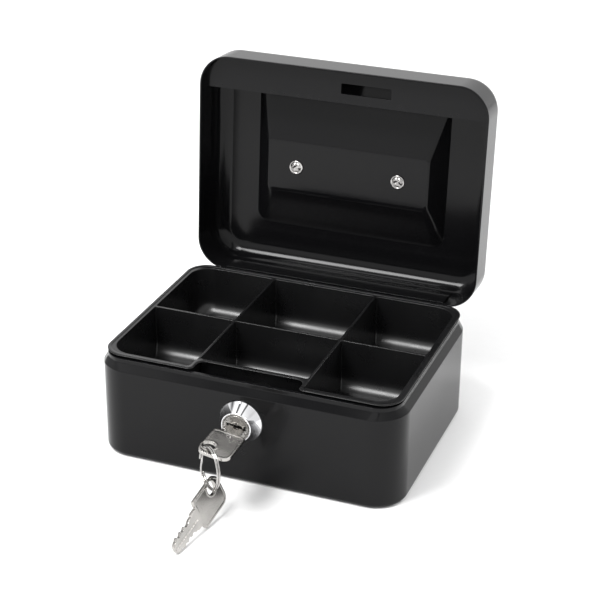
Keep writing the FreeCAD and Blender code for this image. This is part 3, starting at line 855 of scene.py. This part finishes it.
def sky():
    """A pale surround: soft changes of level by direction, and the panels high up."""
    world = bpy.data.worlds.new("studio")
    bpy.context.scene.world = world
    world.use_nodes = True
    nodes, links = world.node_tree.nodes, world.node_tree.links
    toward = nodes.new("ShaderNodeVectorMath")
    toward.operation = "DOT_PRODUCT"
    toward.inputs[1].default_value = SKY_AXIS
    direction = nodes.new("ShaderNodeTexCoord").outputs["Generated"]
    links.new(direction, toward.inputs[0])
    level = ramp_node(nodes, SKY)
    links.new(across(nodes, links, toward.outputs["Value"], -1, 1), level.inputs["Fac"])
    split = nodes.new("ShaderNodeSeparateXYZ")
    links.new(direction, split.inputs["Vector"])
    panels = ramp_node(nodes, PANELS)
    links.new(across(nodes, links, split.outputs["X"], -1, 1), panels.inputs["Fac"])
    mix = nodes.new("ShaderNodeMix")
    mix.data_type, mix.blend_type = "RGBA", "MULTIPLY"
    high = across(nodes, links, split.outputs["Z"], PANELS_FROM, PANELS_FULL)
    links.new(high, mix.inputs["Factor"])
    links.new(level.outputs["Color"], mix.inputs["A"])
    links.new(panels.outputs["Color"], mix.inputs["B"])
    back = nodes["Background"]
    links.new(mix.outputs["Result"], back.inputs["Color"])
    back.inputs["Strength"].default_value = 1.0


def paper_floor():
    """A flat sheet under the box."""
    bm = bmesh.new()
    marks = [FLOOR_HALF * (2 * k / FLOOR_STEPS - 1) for k in range(FLOOR_STEPS + 1)]
    rows = [[bm.verts.new((x, y, 0)) for x in marks] for y in marks]
    for a, b in zip(rows, rows[1:]):
        bridge(bm, a, b, closed=False)
    mesh = bpy.data.meshes.new("floor")
    bm.to_mesh(mesh)
    bm.free()
    mesh.materials.append(floor_card())
    floor = bpy.data.objects.new("floor", mesh)
    bpy.context.scene.collection.objects.link(floor)


def studio():
    bpy.context.scene.view_settings.view_transform = "Standard"
    sky()
    paper_floor()
    area("key_light", (0.75, 0.75, 0.7), (0.25, 0.35, 0), 0.7, 0.7, 6)
    area("soft_box", (-0.38, -0.50, 1.04), (0, 0, 0.05), 0.46, 0.36, 13)


def camera():
    """Front right, slightly above, as a long product lens sees it."""
    yaw, pitch, roll = (math.radians(a) for a in (20.95, 25.85, 0.47))
    ahead = Vector((-math.sin(yaw) * math.cos(pitch), math.cos(yaw) * math.cos(pitch),
                    -math.sin(pitch)))
    right = Vector((math.cos(yaw), math.sin(yaw), 0))
    up = right.cross(ahead)
    right, up = (right * math.cos(roll) + up * math.sin(roll),
                 up * math.cos(roll) - right * math.sin(roll))
    data = bpy.data.cameras.new("camera")
    data.lens, data.sensor_width, data.clip_start = LENS, SENSOR, 0.01
    obj = bpy.data.objects.new("camera", data)
    bpy.context.scene.collection.objects.link(obj)
    turn = Matrix((right, up, -ahead)).transposed().to_4x4()
    obj.matrix_world = Matrix.Translation(CAMERA_AT) @ turn
    bpy.context.scene.camera = obj


# ---------------------------------------------------------------- build

base_shell()
lid_shell()
for side, x in (("left", -POST_X), ("right", POST_X)):
    handle_post(side, x)
handle()
lock_trim()
lock_plug()
for name in ("key_main", "key_spare"):
    key(name)
split_ring()
coin_tray()
# Nodes kept in their CAD shape, with the width of their broken edges.
BEVELS = {"latch_strip": 0.15, "hinge_leaf_lid": 0.15, "hinge_leaf_base": 0.2,
          "hinge_pin": 0.25, "lock_nut": 0.3, "lock_washer": 0.08, "lock_cam": 0.2,
          "plug_clip": 0.1, "cam_clip": 0.1, "washer_left": 0.1, "washer_right": 0.1}
for name, width in BEVELS.items():
    copy_node(name, width)
# The wafers are the only CAD nodes still shown.
for name, slot in SLOT_OF.items():
    node = frame["nodes"][name]
    if not node.hide_render:
        node.data.materials.clear()
        node.data.materials.append(FINISH[slot])
studio()
camera()
